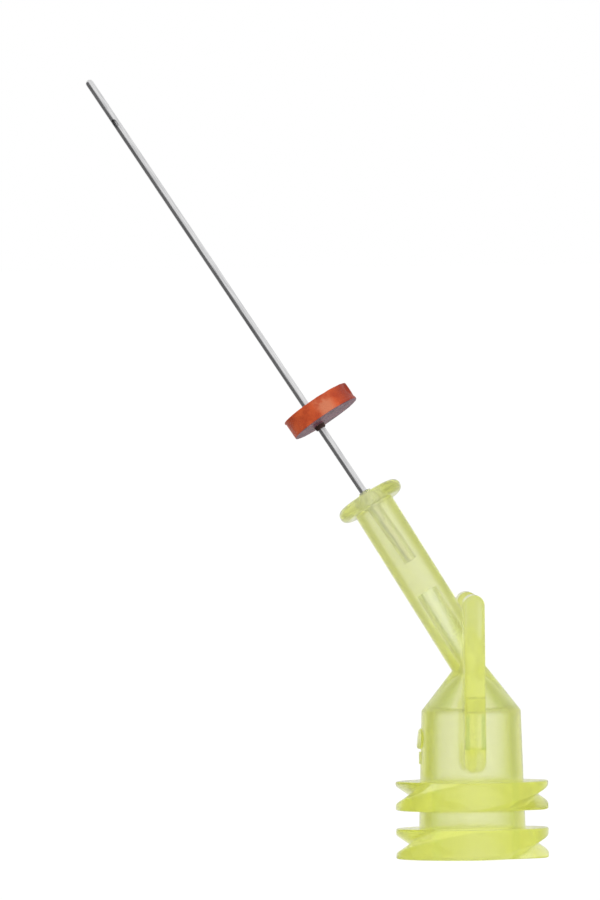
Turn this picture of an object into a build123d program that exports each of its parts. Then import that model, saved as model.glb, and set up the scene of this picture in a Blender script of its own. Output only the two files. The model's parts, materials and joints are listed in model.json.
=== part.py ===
from build123d import *
import os
from math import cos, radians, sin, tan

# Irrigation needle for root canals, in millimetres.
# The origin is the centre of the hub's mouth. +Z is the hub's axis, towards the needle. The needle leans to -X.
# The hub stands on its mouth.

# Luer socket and the barrel round it
luer_taper = 0.06          # diameter lost for each mm of height, inside and outside
socket_mouth_dia = 4.30
socket_depth = 7.44
socket_lead_in = 0.12      # chamfer at the mouth
barrel_wall = 0.60         # at the mouth
shoulder_above_socket = 0.06   # from the socket's end to the top of the barrel
shoulder_round = 0.20

# Lock thread: two collars cut by a two-start helical groove
lug_outer_dia = 7.75
lower_collar_height = 1.52
upper_collar_height = 1.45
collar_round = 0.07
upper_collar_base = 2.46
thread_lead = 5.0
thread_starts = 2
groove_depth = 0.73
groove_width = 1.04        # at the crest
groove_floor = 0.10
groove_level = 0.77        # height of the groove where it crosses +X

# Cone and fluid passage inside it
cone_half_angle = 38.0
neck_dia = 1.40            # where the cone ends
funnel_half_angle = 40.0
funnel_step = 0.12         # ledge between the socket and the funnel
funnel_round = 0.55        # where the funnel runs into the bore
fluid_bore_dia = 0.80

# Bent tube that holds the needle
elbow_rise = 0.16          # from the cone's end to the elbow
elbow_side = 0.62          # the elbow is cut flat this far from the axis, on +X
bend_swing = 17.0          # degrees, the bend's plane turned from -X towards +Y
tube_lean = 32.3           # degrees from the hub's axis
tube_dia = 2.14
tube_length = 10.0         # elbow to the outer face of the flange
tube_bore_length = 4.17    # elbow to the end of the wide bore
passage_dia = 0.18         # fine passage between the bore and the needle
flange_dia = 3.54
flange_thickness = 0.70

# Grip fins, front and back
fin_thickness = 1.06
fin_inner = 2.00           # distance of the free inner edge from the axis
fin_outer = 3.90
fin_rise = 5.95            # above the shoulder
fin_drop = 3.08            # below the shoulder
fin_taper_length = 1.38    # the lowest stretch, where the outer edge runs in to the barrel
fin_edge_round = 0.14

# Gate mark on the left of the barrel, and the mould's witness line under the front fin
gate_dia = 1.05
gate_below_shoulder = 1.42
gate_proud = 0.17
gate_round = 0.13
gate_break_angle = 7.0     # degrees, slope of the broken face
flash_length = 0.62
flash_width = 0.34
flash_below_gate = 0.97
flash_proud = 0.08
witness_width = 0.06
witness_proud = 0.03
witness_offset = 0.10      # from the middle of the fin, towards +X

# Needle
needle_dia = 0.40
needle_bore_dia = 0.24
needle_lean = 34.1         # degrees from the hub's axis
needle_exposed = 25.65
needle_embedded = 4.05
needle_cross_depth = 0.80  # the needle crosses the tube's axis this far below the flange's face
tip_wall = 0.30            # closed end of the needle
port_from_tip = 2.65
port_width = 0.24
port_length = 0.46
port_turn = 8.0            # degrees, the port faces the front and this much to the left

# Adhesive
glue_gap = 0.03            # all round the needle
well_dia = 1.10            # at the flange's face
well_floor_gap = 0.17      # all round the needle, at the bottom of the well
well_depth = 0.72
bead_dia = 0.98
bead_top_dia = 0.60
bead_height = 0.22

# Silicone stop
stop_dia = 3.72
stop_thickness = 0.99
stop_distance = 4.38       # from the flange's face to the stop
stop_offset = 0.48         # the hole is this far off centre
stop_clearance = 0.02      # all round the needle
stop_edge_round = 0.05
stop_collar_dia = 0.66
stop_collar_height = 0.28
nick_dia = 0.56
nick_depth = 0.12

# Values worked out from the sizes above
shoulder_height = socket_depth + shoulder_above_socket
barrel_radius = socket_mouth_dia / 2 + barrel_wall
lug_radius = lug_outer_dia / 2
shoulder_radius = barrel_radius - luer_taper / 2 * shoulder_height
cone_top = shoulder_height + (shoulder_radius - neck_dia / 2) / tan(radians(cone_half_angle))
elbow_height = cone_top + elbow_rise
socket_radius = socket_mouth_dia / 2
socket_end_radius = socket_radius - luer_taper / 2 * socket_depth
funnel_radius = socket_end_radius - funnel_step
fluid_radius = fluid_bore_dia / 2
funnel_top = socket_depth + (funnel_radius - fluid_radius) / tan(radians(funnel_half_angle))
fin_top = shoulder_height + fin_rise
fin_bottom = shoulder_height - fin_drop
fin_taper_start = fin_bottom + fin_taper_length
gate_height = shoulder_height - gate_below_shoulder
flash_height = gate_height - flash_below_gate
needle_radius = needle_dia / 2
well_floor_radius = needle_radius + well_floor_gap
needle_start = needle_cross_depth - needle_embedded
needle_end = needle_cross_depth + needle_exposed


def leaning(lean):
    """Unit vector that leans from +Z towards -X, in the bend's plane."""
    side = sin(radians(lean))
    return Vector(-side * cos(radians(bend_swing)), side * sin(radians(bend_swing)), cos(radians(lean)))


def leaning_plane(origin, lean):
    """Plane square to the leaning direction. Its x direction points to the outside of the bend."""
    return Plane(origin=origin, x_dir=leaning(lean + 90) * -1, z_dir=leaning(lean))


tube_plane = leaning_plane((0, 0, elbow_height), tube_lean)
needle_origin = tube_plane.from_local_coords(Vector(0, 0, tube_length - needle_cross_depth))
needle_plane = leaning_plane(needle_origin, needle_lean)


def rod(radius, start, end):
    """Cylinder on the local Z axis, between two heights."""
    return Pos(0, 0, start) * Cylinder(radius, end - start, align=(Align.CENTER, Align.CENTER, Align.MIN))


def turned(points):
    """Solid of revolution about Z from a closed outline of (radius, height) points."""
    outline = Plane.XZ * Polyline(*points, close=True)
    return revolve(make_face(outline), Axis.Z)


def barrel():
    """Tapered barrel and cone."""
    shape = turned([
        (0, 0),
        (barrel_radius, 0),
        (shoulder_radius, shoulder_height),
        (neck_dia / 2, cone_top),
        (0, cone_top),
    ])
    shoulder = shape.edges().filter_by(GeomType.CIRCLE).group_by(Axis.Z)
    edge = [ring for level in shoulder for ring in level if abs(ring.center().Z - shoulder_height) < 0.01]
    return fillet(edge, shoulder_round)


def collar(base, height):
    """One lock collar with softened corners."""
    ring = rod(lug_radius, base, base + height)
    return fillet(ring.edges().filter_by(GeomType.CIRCLE), collar_round)


def thread_groove():
    """V groove that winds up past both collars, one solid for each start."""
    run_out = groove_width
    low = -run_out
    high = upper_collar_base + upper_collar_height + run_out
    helix = Helix(thread_lead, high - low, lug_radius, center=(0, 0, low))
    over = 0.3 * groove_depth
    slope = (groove_width - groove_floor) / 2 / groove_depth
    crest = groove_floor / 2 + slope * (groove_depth + over)
    section = Plane(origin=helix @ 0, x_dir=(1, 0, 0), z_dir=helix % 0) * make_face(Polyline(
        (-groove_depth, -groove_floor / 2),
        (over, -crest),
        (over, crest),
        (-groove_depth, groove_floor / 2),
        close=True,
    ))
    groove = sweep(section, path=helix, is_frenet=True)
    first_turn = (low - groove_level) / thread_lead * 360
    return [Rot(0, 0, first_turn + 360 / thread_starts * i) * groove for i in range(thread_starts)]


def socket():
    """Luer socket, funnel and the upright part of the fluid bore."""
    cavity = turned([
        (0, -socket_lead_in),
        (socket_radius + 2 * socket_lead_in, -socket_lead_in),
        (socket_radius - luer_taper / 2 * socket_lead_in, socket_lead_in),
        (socket_end_radius, socket_depth),
        (funnel_radius, socket_depth),
        (fluid_radius, funnel_top),
        (fluid_radius, elbow_height),
        (0, elbow_height),
    ])
    throat = [e for e in cavity.edges().filter_by(GeomType.CIRCLE) if abs(e.center().Z - funnel_top) < 0.01]
    return fillet(throat, funnel_round) + Pos(0, 0, elbow_height) * Sphere(fluid_radius)


def bent_tube():
    """Round tube from inside the cone to the flange, flat on the outside of the elbow."""
    tube = tube_plane * rod(tube_dia / 2, -tube_dia, tube_length)
    flange = tube_plane * rod(flange_dia / 2, tube_length - flange_thickness, tube_length)
    flange = fillet(flange.edges().filter_by(GeomType.CIRCLE), 0.49 * flange_thickness)
    reach = tube_length + flange_dia
    low = cone_top - neck_dia / 2
    keep = Pos(elbow_side, 0, low) * Box(2 * reach, 2 * reach, reach, align=(Align.MAX, Align.CENTER, Align.MIN))
    return tube & keep, flange


def fin():
    """Front grip fin: a round-ended plate whose lower outer corner runs in to the barrel."""
    height = fin_top - fin_bottom
    face = Plane.XZ.offset(fin_inner) * Pos(0, fin_bottom + height / 2) * SlotOverall(height, fin_thickness, rotation=90)
    plate = extrude(face, fin_outer - fin_inner)
    foot = barrel_radius - luer_taper / 2 * fin_bottom
    corner = Plane.YZ * make_face(Polyline(
        (-foot, fin_bottom),
        (-fin_outer, fin_taper_start),
        (-fin_outer - fin_thickness, fin_taper_start),
        (-fin_outer - fin_thickness, fin_bottom - fin_thickness),
        (-foot, fin_bottom - fin_thickness),
        close=True,
    ))
    plate = plate - extrude(corner, fin_thickness, both=True)
    edge = plate.faces().sort_by(Axis.Y)[0].edges()
    return fillet(edge, fin_edge_round)


def gate_mark():
    """Broken gate stub and the smear of flash under it."""
    wall = barrel_radius - luer_taper / 2 * gate_height
    stub = rod(gate_dia / 2, -gate_proud, gate_proud)
    stub = fillet(stub.edges().filter_by(GeomType.CIRCLE).sort_by(Axis.Z)[-1], gate_round)
    stub = Pos(-wall, 0, gate_height) * Rot(0, -90 + gate_break_angle, 0) * stub
    low_wall = barrel_radius - luer_taper / 2 * flash_height
    flash = Pos(-low_wall, 0, flash_height) * Box(2 * flash_proud, flash_width, flash_length)
    flash = fillet(flash.edges().filter_by(Axis.Z), 0.9 * flash_proud)
    return stub, flash


def witness_line():
    """Raised mould line between the front fin and the upper collar."""
    low = upper_collar_base + upper_collar_height / 2
    high = fin_bottom + fin_thickness / 2
    wall = barrel_radius - luer_taper / 2 * high
    slab = Box(
        witness_width,
        barrel_radius + witness_proud - wall + 0.3,
        high - low,
        align=(Align.CENTER, Align.MIN, Align.MIN),
    )
    front = barrel_radius - luer_taper / 2 * (low + high) / 2 + witness_proud
    return Pos(witness_offset, -front, low) * slab


def glue_space():
    """Hole in the tube that the needle and its adhesive fill."""
    hole = rod(needle_radius + glue_gap, needle_start, needle_cross_depth + flange_thickness)
    well = Pos(0, 0, tube_length - well_depth) * Cone(
        well_floor_radius,
        well_dia / 2,
        well_depth,
        align=(Align.CENTER, Align.CENTER, Align.MIN),
    )
    below_face = tube_plane * rod(flange_dia / 2, 0, tube_length)
    return ((needle_plane * hole) & below_face) + tube_plane * well


def hub():
    """The moulded hub, one piece."""
    tube, flange = bent_tube()
    front_fin = fin()
    stub, flash = gate_mark()
    solid = barrel() + collar(0, lower_collar_height) + collar(upper_collar_base, upper_collar_height)
    for groove in thread_groove():
        solid = solid - groove
    solid = solid + tube + flange + front_fin + Rot(0, 0, 180) * front_fin + stub + flash + witness_line()
    wide_bore = tube_plane * rod(fluid_radius, 0, tube_bore_length)
    passage = needle_plane * rod(passage_dia / 2, tube_bore_length - tube_length, needle_start + needle_dia)
    return solid - socket() - wide_bore - passage - glue_space()


def needle():
    """Steel needle with a closed round tip and one side port."""
    body = rod(needle_radius, needle_start, needle_end - needle_radius)
    body = body + Pos(0, 0, needle_end - needle_radius) * Sphere(needle_radius)
    body = body - rod(needle_bore_dia / 2, needle_start, needle_end - tip_wall)
    slot = extrude(SlotOverall(port_length, port_width), needle_dia)
    port = Pos(0, 0, needle_end - port_from_tip) * Rot(0, 0, -90 - port_turn) * Rot(0, 90, 0) * slot
    return needle_plane * (body - port)


def adhesive():
    """Cured adhesive that fills the space round the needle and stands proud of the flange."""
    bead = tube_plane * Pos(0, 0, tube_length) * Cone(
        bead_dia / 2,
        bead_top_dia / 2,
        bead_height,
        align=(Align.CENTER, Align.CENTER, Align.MIN),
    )
    return glue_space() + bead - needle_plane * rod(needle_radius, needle_start, needle_end)


def stopper():
    """Silicone stop, a disc that grips the needle off centre."""
    near = needle_cross_depth + stop_distance
    far = near + stop_thickness
    disc = Pos(stop_offset, 0, 0) * rod(stop_dia / 2, near, far)
    disc = fillet(disc.edges().filter_by(GeomType.CIRCLE), stop_edge_round)
    neck = rod(stop_collar_dia / 2, near - stop_collar_height, near + stop_thickness / 2)
    neck = chamfer(neck.edges().filter_by(GeomType.CIRCLE).sort_by(Axis.Z)[0], 0.3 * stop_collar_height)
    rim = stop_offset + stop_dia / 2
    nick = Pos(rim + nick_dia / 2 - nick_depth, 0, near + 0.55 * stop_thickness) * Sphere(nick_dia / 2)
    hole = rod(needle_radius + stop_clearance, near - stop_thickness, far + stop_thickness)
    return needle_plane * (disc + neck - nick - hole)


os.makedirs("parts", exist_ok=True)
for name, make in {"hub": hub, "needle": needle, "adhesive": adhesive, "stopper": stopper}.items():
    export_step(make(), f"parts/{name}.step")
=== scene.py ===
import json
from math import cos, radians, sin

import bpy
from mathutils import Matrix, Quaternion, Vector

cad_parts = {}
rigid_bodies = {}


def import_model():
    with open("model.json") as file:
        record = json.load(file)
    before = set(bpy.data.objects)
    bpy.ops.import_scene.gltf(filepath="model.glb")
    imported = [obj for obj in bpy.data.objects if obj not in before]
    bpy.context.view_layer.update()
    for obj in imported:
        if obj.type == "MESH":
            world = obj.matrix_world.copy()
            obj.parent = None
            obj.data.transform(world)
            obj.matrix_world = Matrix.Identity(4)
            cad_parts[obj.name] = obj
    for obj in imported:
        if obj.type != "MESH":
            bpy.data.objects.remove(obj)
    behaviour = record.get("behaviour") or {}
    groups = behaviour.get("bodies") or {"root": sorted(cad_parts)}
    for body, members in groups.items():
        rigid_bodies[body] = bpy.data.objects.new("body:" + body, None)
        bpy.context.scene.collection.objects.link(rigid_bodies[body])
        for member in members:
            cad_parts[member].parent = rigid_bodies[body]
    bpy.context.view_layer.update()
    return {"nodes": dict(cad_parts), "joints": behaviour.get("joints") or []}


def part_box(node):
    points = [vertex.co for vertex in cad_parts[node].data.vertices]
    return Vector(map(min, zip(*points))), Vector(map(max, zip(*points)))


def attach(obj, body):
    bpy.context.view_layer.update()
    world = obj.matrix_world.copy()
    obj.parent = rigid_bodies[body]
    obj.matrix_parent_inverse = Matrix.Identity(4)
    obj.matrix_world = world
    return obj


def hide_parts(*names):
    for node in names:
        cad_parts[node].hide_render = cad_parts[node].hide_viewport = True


for leftover in list(bpy.data.objects):
    bpy.data.objects.remove(leftover)
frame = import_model()
scene = bpy.context.scene
scene.view_settings.view_transform = "Standard"
mm = 0.001


# Hub
# One injection moulding in translucent yellow-green polypropylene. It has the luer socket and its lock
# thread, the two grip fins and the bent tube that holds the needle.
class Value:
    """One output of a shader node. Arithmetic on it adds Math nodes."""

    def __init__(self, tree, socket=None):
        self.tree = tree
        self.socket = socket

    def node(self, kind, settings=None, inputs=None, output=0):
        """Adds a node of this kind and gives one of its outputs. Settings come before the sockets' values."""
        made = self.tree.nodes.new("ShaderNode" + kind)
        for name, value in (settings or {}).items():
            if name == "stops":
                stops = made.color_ramp.elements
                while len(stops) < len(value):
                    stops.new(0.5)
                for stop, (place, colour) in zip(stops, value):
                    stop.position = place
                    stop.color = colour
            else:
                setattr(made, name, value)
        for name, value in (inputs or {}).items():
            if isinstance(value, Value):
                self.tree.links.new(value.socket, made.inputs[name])
            else:
                made.inputs[name].default_value = value
        return Value(self.tree, made.outputs[output])

    def math(self, operation, *others):
        return self.node("Math", {"operation": operation}, dict(enumerate((self, *others))))

    def __add__(self, other):
        return self.math("ADD", other)

    def __radd__(self, other):
        return self + other

    def __sub__(self, other):
        return self.math("SUBTRACT", other)

    def __rsub__(self, other):
        return self * -1 + other

    def __mul__(self, other):
        return self.math("MULTIPLY", other)

    def __rmul__(self, other):
        return self * other

    def vector(self, operation, other=(0, 0, 0), output="Vector"):
        """Vector Math on this vector, and on a second one where the operation takes two."""
        return self.node("VectorMath", {"operation": operation}, {0: self, 1: other}, output)

    def along(self, direction):
        """How far this vector reaches in a direction of unit length."""
        return self.vector("DOT_PRODUCT", tuple(direction), "Value")

    def noise(self, scale, detail):
        return self.node("TexNoise", inputs={"Vector": self, "Scale": scale, "Detail": detail})

    def ramp(self, low, dark, high, light):
        """Runs from one colour at low to another at high."""
        return self.node("ValToRGB", {"stops": [(low, (*dark, 1)), (high, (*light, 1))]}, {"Fac": self})

    def band(self, low, high):
        """Rises smoothly from 0 at low to 1 at high. It falls if low is the larger."""
        steps = {"Value": self, "From Min": low, "From Max": high}
        return self.node("MapRange", {"interpolation_type": "SMOOTHSTEP"}, steps)

    def between(self, rise, full, fall, end):
        """Rises from 0 at rise to 1 at full, stays there up to fall, and is back at 0 at end."""
        return self.band(rise, full) * self.band(end, fall)


def new_material(name):
    """A material with one Principled shader. Gives the material, the shader and a Value to start from."""
    material = bpy.data.materials.new(name)
    material.use_nodes = True
    shader = material.node_tree.nodes["Principled BSDF"]
    return material, shader, Value(material.node_tree)


def places(start):
    """Each point's place on its piece, in metres and in millimetres."""
    place = start.node("TexCoord", output="Object")
    return place, place.vector("MULTIPLY", (1 / mm, 1 / mm, 1 / mm))


def blend(share, first, second):
    """Mixes two colours. Share is how much there is of the second."""
    return share.node("Mix", {"data_type": "RGBA"}, {0: share, 6: first, 7: second}, output=2)


def feed(shader, **links):
    """Links varying values to a shader's sockets, named with _ for each space."""
    for name, value in links.items():
        shader.id_data.links.new(value.socket, shader.inputs[name.replace("_", " ")])


def send(material, name, value):
    """Links a shader to the material's output, as its Surface or its Volume."""
    material.node_tree.links.new(value.socket, material.node_tree.nodes["Material Output"].inputs[name])


def cover(material, shader, share, second):
    """Lays a second shader over the first, as much of it as share says."""
    first = Value(material.node_tree, shader.outputs[0])
    send(material, "Surface", share.node("MixShader", inputs={0: share, 1: first, 2: second}))


# The moulding's sizes that its looks follow, in millimetres
lower_collar_top = 1.5
collars_top = 3.9
shoulder = 7.5                  # the barrel ends here and the cone begins
elbow = 10.0
wall_inside = 2.1               # the barrel's wall, seen from the front, lies between these distances
wall_outside = 2.6
fin_half = 0.53                 # half a fin's thickness
fin_face = 3.78                 # the fins' outer faces start this far from the axis
tube_lean = radians(32.3)
tube_swing = radians(17.0)
tube_bore_radius = 0.40
tube_bore_end = 4.3             # from the elbow

# The plastic's own looks
plastic_tint = (0.985, 0.99, 0.955)
plastic_dull_tint = (0.965, 0.975, 0.93)
plastic_index = 1.49
plastic_haze = 0.14
plastic_absorption = (0.985, 1.0, 0.05, 1)
plastic_density = 290           # for each metre
plastic_milk_colour = (0.998, 1.0, 0.72, 1)
plastic_milk = 450              # for each metre
forward_scatter = 0.55
edge_softness = 0.22 * mm
frost_everywhere = 0.015        # share of white, rough surface
frost_on_tube = 0.07
frost_in_bore = 0.22
frost_on_gate = 0.20

slide = frame["joints"][0]
needle_axis = Vector(slide["axis"]).normalized()
needle_corners = [corner.co for corner in frame["nodes"]["needle"].data.vertices]
needle_start = min(needle_axis.dot(corner) for corner in needle_corners)
needle_middle = sum(needle_corners, Vector()) / len(needle_corners)


def up_needle(measured):
    """Distance along the needle in millimetres, from its inner end."""
    return measured.along(needle_axis) - needle_start / mm


plastic, shader, start = new_material("hub_plastic")
place, measured = places(start)
flow = place.noise(420.0, 2.0)
grain = place.noise(9000.0, 3.0)
waves = place.noise(900.0, 1.0)

x, y, height = (start.node("SeparateXYZ", inputs={"Vector": measured}, output=axis) for axis in "XYZ")
aside = x.math("ABSOLUTE")
depth = y.math("ABSOLUTE")
below_elbow = height.band(elbow + 1.0, elbow)
below_shoulder = height.band(shoulder, shoulder - 0.3)

tube_axis = Vector((-sin(tube_lean) * cos(tube_swing), sin(tube_lean) * sin(tube_swing), cos(tube_lean)))
tube_side = tube_axis.cross(Vector((0, -1, 0))).normalized()
from_elbow = measured.vector("SUBTRACT", (0, 0, elbow))
across = from_elbow.along(tube_side)
up_tube = from_elbow.along(tube_axis)
off_axis = from_elbow.vector("CROSS_PRODUCT", tuple(tube_axis)).vector("LENGTH", output="Value")
tube = x.band(-0.5, -1.3) * height.band(elbow - 0.2, elbow + 1.0)
tube_edge = tube * across.band(0.55, 0.90)
bore = off_axis.band(tube_bore_radius + 0.06, tube_bore_radius + 0.04)
bore = bore * up_tube.between(0.2, 0.7, tube_bore_end, tube_bore_end + 0.05)
bore_flank = across.math("ABSOLUTE").band(0.18, 0.32)

right_side = x.band(1.2, 2.4) * below_elbow
collars_right = x.band(2.8, 3.4) * height.band(collars_top + 1.3, collars_top + 1.0)
lower_collar_right = x.band(2.95, 3.30) * height.band(lower_collar_top + 0.25, lower_collar_top + 0.05)
walls = aside.between(wall_inside, wall_inside + 0.25, wall_outside, wall_outside + 0.04)
walls = walls * height.band(collars_top + 0.1, collars_top + 0.4) * below_elbow
socket_right = x.between(1.70, 1.95, 2.15, 2.30) * below_shoulder
socket_left = x.between(-2.30, -2.15, -1.95, -1.70) * below_shoulder
cone = height.between(shoulder, shoulder + 0.2, 8.9, 9.5) * depth.band(2.6, 2.2)
cone = cone * (aside + height * 0.39).band(4.0, 4.3)
fin_lines = y.band(0.12 - fin_face, -fin_face) * aside.band(0.24, 0.36)
fin_lines = fin_lines * height.between(collars_top + 0.2, collars_top + 0.4, shoulder - 0.3, shoulder + 0.1)
fin_flanks = aside.between(fin_half - 0.08, fin_half - 0.02, fin_half + 0.04, fin_half + 0.07)
fin_flanks = fin_flanks * depth.band(1.9, 2.0) * (depth + height * 0.9).band(9.4, 9.6)
back_fin_top = y.band(1.0, 1.9) * height.band(12.3, 13.2) * aside.band(0.75, 0.60)

# In the photo the plastic's colour changes with its depth and with what lies behind it. Over the random
# cloudiness, each tint here is painted shade for one zone, standing in for how light bends and falls through
# the
# plastic: darker, yellower or greyer bands at the right side, the collars' right ends, the part above the
# cone, the walls, the tube and its edges, the bore's flanks, the cone, the socket's sides, the fin's lines
# and flanks and the back fin's top. Each tint brings one zone nearer to the photo, over the ones before it.
cloudiness_and_painted_shade = flow.ramp(0.30, plastic_dull_tint, 0.70, plastic_tint)
for share, tint in (
    (right_side, (0.97, 0.975, 0.78, 1)),
    (collars_right, (0.98, 0.98, 0.40, 1)),
    (height.band(9.5, 13.0), (0.88, 0.90, 0.90, 1)),
    (walls, (0.98, 0.99, 0.60, 1)),
    (tube, (0.93, 0.94, 1.0, 1)),
    (tube_edge, (0.82, 0.84, 0.66, 1)),
    (bore * bore_flank, (0.56, 0.62, 0.62, 1)),
    (cone, (0.82, 0.87, 0.64, 1)),
    (socket_right, (0.86, 0.91, 0.74, 1)),
    (socket_left, (0.945, 0.98, 0.93, 1)),
    (fin_lines, (0.62, 0.74, 0.60, 1)),
    (back_fin_top, (0.86, 0.87, 0.50, 1)),
    (fin_flanks, (0.86, 0.88, 0.62, 1)),
    (lower_collar_right, (0.80, 0.80, 0.26, 1)),
):
    cloudiness_and_painted_shade = blend(share, cloudiness_and_painted_shade, tint)

# The photo doesn't show the fine passage between the tube's bore and the needle, so its wall is clear here
from_needle = place.vector("SUBTRACT", needle_middle).vector("CROSS_PRODUCT", tuple(needle_axis))
from_needle = from_needle.vector("LENGTH", output="Value") * (1 / mm)
passage = from_needle.band(0.14, 0.12) * up_needle(measured).between(-2.80, -2.70, -0.06, -0.02)

# The edges are softened in the shading, apart from those of the tube and of what is in it
rounded = start.node("Bevel", {"samples": 4}, {"Radius": edge_softness})
sharp = start.node("NewGeometry", output="Normal")
normal = start.node("Mix", {"data_type": "VECTOR"}, {0: tube, 4: rounded, 5: sharp}, output=1)
relief = {"Height": waves * 0.8 + grain * 0.06, "Strength": 0.30, "Distance": 0.02 * mm, "Normal": normal}
bump = start.node("Bump", inputs=relief)
haze = grain * 0.06 + flow * 0.04 + plastic_haze
feed(shader, Base_Color=cloudiness_and_painted_shade, Roughness=haze, Normal=bump, Alpha=1 - passage)
shader.inputs["Transmission Weight"].default_value = 1.0
shader.inputs["IOR"].default_value = plastic_index

gate = x.band(-2.57, -2.61) * height.between(4.6, 4.8, 6.6, 6.8)
frost = tube * (1 - tube_edge) * frost_on_tube + bore * (1 - bore_flank) * frost_in_bore
frost = (frost + gate * frost_on_gate + frost_everywhere) * (1 - passage) * (grain * 0.6 + 0.7)
blasted = start.node("BsdfDiffuse", {}, {"Color": (0.93, 0.94, 0.90, 1), "Roughness": 0.5})
cover(plastic, shader, frost, blasted)

colouring = start.node("VolumeAbsorption", inputs={"Color": plastic_absorption, "Density": plastic_density})
milk = {"Color": plastic_milk_colour, "Density": plastic_milk, "Anisotropy": forward_scatter}
milk = start.node("VolumeScatter", inputs=milk)
send(plastic, "Volume", start.node("AddShader", inputs={0: colouring, 1: milk}))
frame["nodes"]["hub"].material_slots[0].material = plastic

# Needle
# A drawn stainless tube of 27 gauge, ground to a satin finish. Its tip is welded shut and rounded, and one
# side port is cut near the tip. The stretch that is bonded in the hub looks duller, and a painted dark streak
# on it stands in for the needle's shaded side.
bonded_length = 3.95            # in millimetres, as the streak's edges are
brushing = 0.96                 # how far the noise is drawn out into lines along the needle

steel, shader, start = new_material("needle_steel")
place, measured = places(start)
backwards = {0: tuple(needle_axis), "Scale": place.along(needle_axis) * -brushing}
stretched = place.vector("ADD", start.node("VectorMath", {"operation": "SCALE"}, backwards))
lines = stretched.noise(26000.0, 3.0)
patches = place.noise(3500.0, 4.0)

sideways = needle_axis.cross(Vector((0, -1, 0))).normalized()
rims = [sideways.dot(corner) for corner in needle_corners]
across = measured.along(sideways) - (min(rims) + max(rims)) / 2 / mm
# The streak is painted shade: a dark line along the bonded stretch's left side, where the needle is shaded.
painted_dark_side = across.between(-0.19, -0.16, -0.06, -0.02)
bonded = up_needle(measured).band(bonded_length, bonded_length - 0.15)
bonded_tone_and_painted_shade = blend(painted_dark_side, (0.66, 0.62, 0.54, 1), (0.05, 0.06, 0.05, 1))
metal = blend(bonded, lines.ramp(0.30, (0.50, 0.50, 0.51), 0.70, (0.78, 0.78, 0.78)), bonded_tone_and_painted_shade)
bump = start.node("Bump", inputs={"Height": lines + patches * 0.5, "Strength": 0.35, "Distance": 0.004 * mm})
feed(shader, Base_Color=metal, Roughness=patches * 0.16 + bonded * 0.4 + 0.20, Normal=bump)
shader.inputs["Metallic"].default_value = 1.0
frame["nodes"]["needle"].material_slots[0].material = steel

# Adhesive
# Clear light-cured adhesive. It fills the well round the needle and stands as a low bead on the flange.
# It looks chalky in patches inside the well.
chalk_top = 4.02                # in millimetres from the needle's inner end

glue, shader, start = new_material("clear_adhesive")
place, measured = places(start)
mottle = place.noise(2500.0, 2.0)
tone = mottle.ramp(0.3, (0.92, 0.94, 0.84), 0.7, (0.98, 0.98, 0.93))
bump = start.node("Bump", inputs={"Height": mottle, "Strength": 0.3, "Distance": 0.02 * mm})
feed(shader, Base_Color=tone, Roughness=mottle * 0.1 + 0.12, Normal=bump)
shader.inputs["Transmission Weight"].default_value = 0.95
shader.inputs["IOR"].default_value = 1.50
cured = up_needle(measured).between(chalk_top - 0.82, chalk_top - 0.42, chalk_top, chalk_top + 0.10)
cured = cured * mottle.band(0.35, 0.65)
chalk = start.node("BsdfDiffuse", {}, {"Color": (0.95, 0.95, 0.88, 1), "Roughness": 0.5})
cover(glue, shader, cured * 0.9 + 0.02, chalk)
frame["nodes"]["adhesive"].material_slots[0].material = glue

# Stop
# A disc of red silicone rubber with a short collar, moulded and then pushed on the needle off centre, where
# it grips. Its rim has a thin flash left by the mould, a raised edge towards the hub and a small bite.
stop_radius = 1.86              # the stop's own sizes are in millimetres, and its axis is the needle's
stop_thickness = 0.99
stop_offset = 0.48              # the needle's hole lies this far off centre
stop_hole_radius = 0.22
stop_collar_radius = 0.33
stop_collar_height = 0.28
bite_radius = 0.42
bite_depth = 0.20
bite_side = -0.15
bite_level = 0.12
edge_thickness = 0.16           # the raised edge towards the hub
edge_shift = 0.05
flash_thickness = 0.07
flash_shift = 0.06
room_for_lumps = 0.02           # the uneven skin stands out by about this much


def round_bar(radius, low, high, x=0.0, top_radius=None):
    """Cylinder or cone that stands on the stop's own axis, between two heights."""
    bpy.ops.object.select_all(action="DESELECT")
    bpy.ops.mesh.primitive_cone_add(
        vertices=128,
        radius1=radius,
        radius2=radius if top_radius is None else top_radius,
        depth=high - low,
        location=(x, 0, (low + high) / 2),
    )
    return bpy.context.object


def cut(piece, tool):
    """Takes the tool's shape out of the piece and removes the tool."""
    boolean = piece.modifiers.new("cut", "BOOLEAN")
    boolean.operation = "DIFFERENCE"
    boolean.solver = "EXACT"
    boolean.object = tool
    bpy.context.view_layer.objects.active = piece
    bpy.ops.object.modifier_apply(modifier=boolean.name)
    bpy.data.objects.remove(tool)


half = stop_thickness / 2
rim_radius = stop_radius - room_for_lumps - 0.01
collar_low = -half - stop_collar_height
parts = [
    round_bar(stop_radius - room_for_lumps, -half, half),
    round_bar(rim_radius, -half, edge_thickness - half, x=edge_shift),
    round_bar(rim_radius, half - flash_thickness, half, x=-flash_shift),
    round_bar(0.8 * stop_collar_radius, collar_low, 0, x=-stop_offset, top_radius=1.15 * stop_collar_radius),
]
bpy.ops.object.select_all(action="DESELECT")
for part in parts:
    part.select_set(True)
stop = parts[0]
bpy.context.view_layer.objects.active = stop
bpy.ops.object.transform_apply(location=True, rotation=False, scale=False)
bpy.ops.object.join()
stop.name = "silicone_stop"

bpy.ops.object.select_all(action="DESELECT")
bpy.ops.mesh.primitive_uv_sphere_add(segments=64, ring_count=32, radius=bite_radius)
bite = bpy.context.object
bite.location = (stop_radius + bite_radius - bite_depth, bite_side, bite_level)

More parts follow.
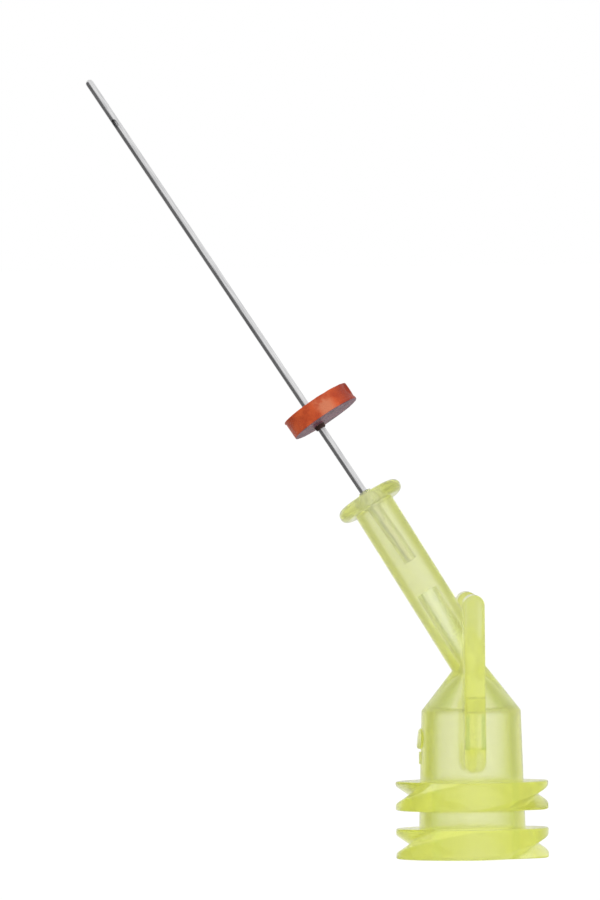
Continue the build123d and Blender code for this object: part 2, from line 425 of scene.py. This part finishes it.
one_skin = stop.modifiers.new("one_skin", "REMESH")
one_skin.mode = "VOXEL"
one_skin.voxel_size = 0.03
bpy.context.view_layer.objects.active = stop
bpy.ops.object.modifier_apply(modifier=one_skin.name)
cut(stop, bite)
soften = stop.modifiers.new("soften", "SMOOTH")
soften.factor = 0.5
soften.iterations = 6
uneven = stop.modifiers.new("uneven", "DISPLACE")
lumps = bpy.data.textures.new("stop_lumps", "CLOUDS")
lumps.noise_scale = 0.30
uneven.texture = lumps
uneven.strength = 0.03
uneven.mid_level = 0.5
for modifier in (soften, uneven):
    bpy.ops.object.modifier_apply(modifier=modifier.name)
cut(stop, round_bar(stop_hole_radius, -stop_thickness, stop_thickness, x=-stop_offset))
bpy.ops.object.shade_smooth()

low, high = (Vector(corner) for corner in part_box("stopper"))
stop_centre = (low + high) / 2
outward = (Vector((0, 0, 1)) - needle_axis * needle_axis.z).normalized()
turn = Matrix((outward, needle_axis.cross(outward), needle_axis)).transposed().to_4x4()
stop.data.transform(Matrix.Translation(stop_centre) @ turn @ Matrix.Scale(mm, 4))
stop.data.update()

# The underside has painted shade with a bluish painted reflection, the collar is painted dark as shade, and
# the rim has a painted highlight in its middle and painted shade at its outer end
rubber, shader, start = new_material("stop_silicone")
place, measured = places(start)
up = measured.along(needle_axis) - stop_centre.dot(needle_axis) / mm
out = measured.along(outward) - stop_centre.dot(outward) / mm
mottle = place.noise(1800.0, 4.0)
grain = place.noise(14000.0, 3.0)
underside = up.band(0.04 - half, 0.01 - half)
collar = up.band(-0.015 - half, -0.065 - half)
painted_highlight = out.between(0.1, 0.6, 0.9, 1.3) * mottle.band(0.35, 0.60)
shaded_far_end = out.band(1.3, 1.8)
red = mottle.ramp(0.32, (0.36, 0.042, 0.010), 0.66, (0.52, 0.082, 0.019))
painted_underside_shade = mottle.ramp(0.35, (0.105, 0.032, 0.055), 0.62, (0.22, 0.085, 0.125))
# Painted light and shade: a highlight on the rim's middle, shade at its outer end, shade with a bluish
# reflection on the underside, and shade on the collar.
for share, tint in (
    (painted_highlight * 0.8, (0.50, 0.165, 0.085, 1)),
    (shaded_far_end, (0.26, 0.026, 0.008, 1)),
    (underside, painted_underside_shade),
    (collar, (0.045, 0.018, 0.014, 1)),
):
    red = blend(share, red, tint)
bump = start.node("Bump", inputs={"Height": grain * 0.4 + mottle, "Strength": 0.5, "Distance": 0.03 * mm})
feed(shader, Base_Color=red, Roughness=grain * 0.15 + 0.36, Normal=bump)
shader.inputs["IOR"].default_value = 1.41
shader.inputs["Specular IOR Level"].default_value = 0.3
stop.data.materials.clear()
stop.data.materials.append(rubber)
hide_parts("stopper")
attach(stop, "stop")

# Camera
# The photo looks at the front fin, from a little above and a little to the left, with a long lens.
# The hub leans over by a fraction of a degree in it.
photo_width = 600
photo_height = 900
scale = 19.7                    # photo pixels for each millimetre
mouth_x = 468.45                # photo pixel of the origin
mouth_y = 860.3
camera_azimuth = radians(-2.9)
camera_height = radians(1.3)
camera_roll = radians(0.65)
camera_distance = 1200 * mm
film_width = 36.0

target = Vector(((photo_width / 2 - mouth_x) / scale, 0, (mouth_y - photo_height / 2) / scale)) * mm
back = Vector((
    sin(camera_azimuth) * cos(camera_height),
    -cos(camera_azimuth) * cos(camera_height),
    sin(camera_height),
))
camera = bpy.data.objects.new("camera", bpy.data.cameras.new("camera"))
scene.collection.objects.link(camera)
camera.location = target + back * camera_distance
camera.rotation_mode = "QUATERNION"
camera.rotation_quaternion = Quaternion(back, -camera_roll) @ (-back).to_track_quat("-Z", "Y")
camera.data.sensor_width = film_width
camera.data.lens = scale * camera_distance / mm * film_width / photo_height
camera.data.clip_start = 0.01
camera.data.clip_end = 10
scene.camera = camera

# Studio
# White paper and a lit screen behind the object, with a dimmer, warmer ring round the screen that shows only
# through the plastic and draws its edges. A dark card on the left draws the dark side of the needle.
room_level = 1.04
key_level = 0.35                # the window above and in front, which lights the rough surfaces
front_level = 0.72              # the room in front, as the plastic passes it on
screen_dimming = 0.19
ring_dimming = 0.56
card_dimming = 0.90
floor_shade = 0.20              # the paper under the object is in its shade
floor_shade_reach = 7 * mm
ring_tint = (0.95, 1.0, 0.36, 1)


def facing(way, direction):
    """How far a way points in a direction, from -1 to 1."""
    return way.along(Vector(direction).normalized())


def room(way, shade=0):
    """Brightness and colour of the room for each kind of ray. The camera itself sees plain white."""
    kinds = ("Camera", "Glossy", "Transmission")
    rays = {name: way.node("LightPath", output=f"Is {name} Ray") for name in kinds}
    outside = 1 - rays["Transmission"]
    away = facing(way, -back)
    screen = away.band(0.83, 0.95)
    through = (1 - screen) * rays["Transmission"]
    ring = away.band(0.05, 0.45) * through + shade
    warmth = (away.band(-0.30, 0.30) * 0.7 + 0.3) * through + shade * 3
    front = away.band(-0.1, -0.7) * rays["Transmission"]
    key = facing(way, (0.12, -0.85, 0.50)).band(0.55, 0.95) * (1 - rays["Glossy"]) * outside
    card = facing(way, (-0.90, -0.30, -0.32)).band(0.42, 0.66) * rays["Glossy"] * outside
    level = key * key_level + front * front_level + room_level
    level = level - screen * screen_dimming - ring * ring_dimming - card * card_dimming
    return rays, level, blend(warmth * (1 - rays["Camera"]), (1, 1, 1, 1), ring_tint)


world = bpy.data.worlds.new("studio")
scene.world = world
world.use_nodes = True
start = Value(world.node_tree)
background = world.node_tree.nodes["Background"]
rays, level, tint = room(start.node("TexCoord", output="Generated"))
feed(background, Color=tint, Strength=rays["Camera"] + (1 - rays["Camera"]) * level)

bpy.ops.object.select_all(action="DESELECT")
bpy.ops.mesh.primitive_plane_add(size=4, location=(0, 0, 0))
floor = bpy.context.object
floor.name = "floor"
paper, shader, start = new_material("floor_paper")
shader.inputs["Base Color"].default_value = (0.55, 0.55, 0.55, 1)
shader.inputs["Roughness"].default_value = 0.9
place, measured = places(start)
way = place.vector("SUBTRACT", (0, 0, 15 * mm)).vector("NORMALIZE")
reach = place.vector("LENGTH", output="Value")
rays, level, tint = room(way, shade=reach.band(floor_shade_reach, 3 * mm) * floor_shade)
strength = rays["Camera"] * 1.06 + (1 - rays["Camera"]) * level
glow = start.node("Emission", inputs={"Color": tint, "Strength": strength})
share = rays["Camera"] * 0.92 + rays["Glossy"] * 0.95 + rays["Transmission"] * 0.95
cover(paper, shader, share, glow)
floor.data.materials.append(paper)

lamp = bpy.data.lights.new("key_light", "AREA")
lamp.size = 0.30
lamp.energy = 1.35
light = bpy.data.objects.new("key_light", lamp)
light.visible_glossy = False
light.visible_transmission = False
scene.collection.objects.link(light)
light.location = (0.05, -0.55, 0.42)
light.rotation_mode = "QUATERNION"
light.rotation_quaternion = (Vector((0, 0, 20 * mm)) - light.location).to_track_quat("-Z", "Y")

# Light bounces many times in the milky plastic, and the filter on glossy light would take a third of it away
scene.cycles.blur_glossy = 0
scene.cycles.max_bounces = 24
scene.cycles.volume_bounces = 16
scene.cycles.transmission_bounces = 24
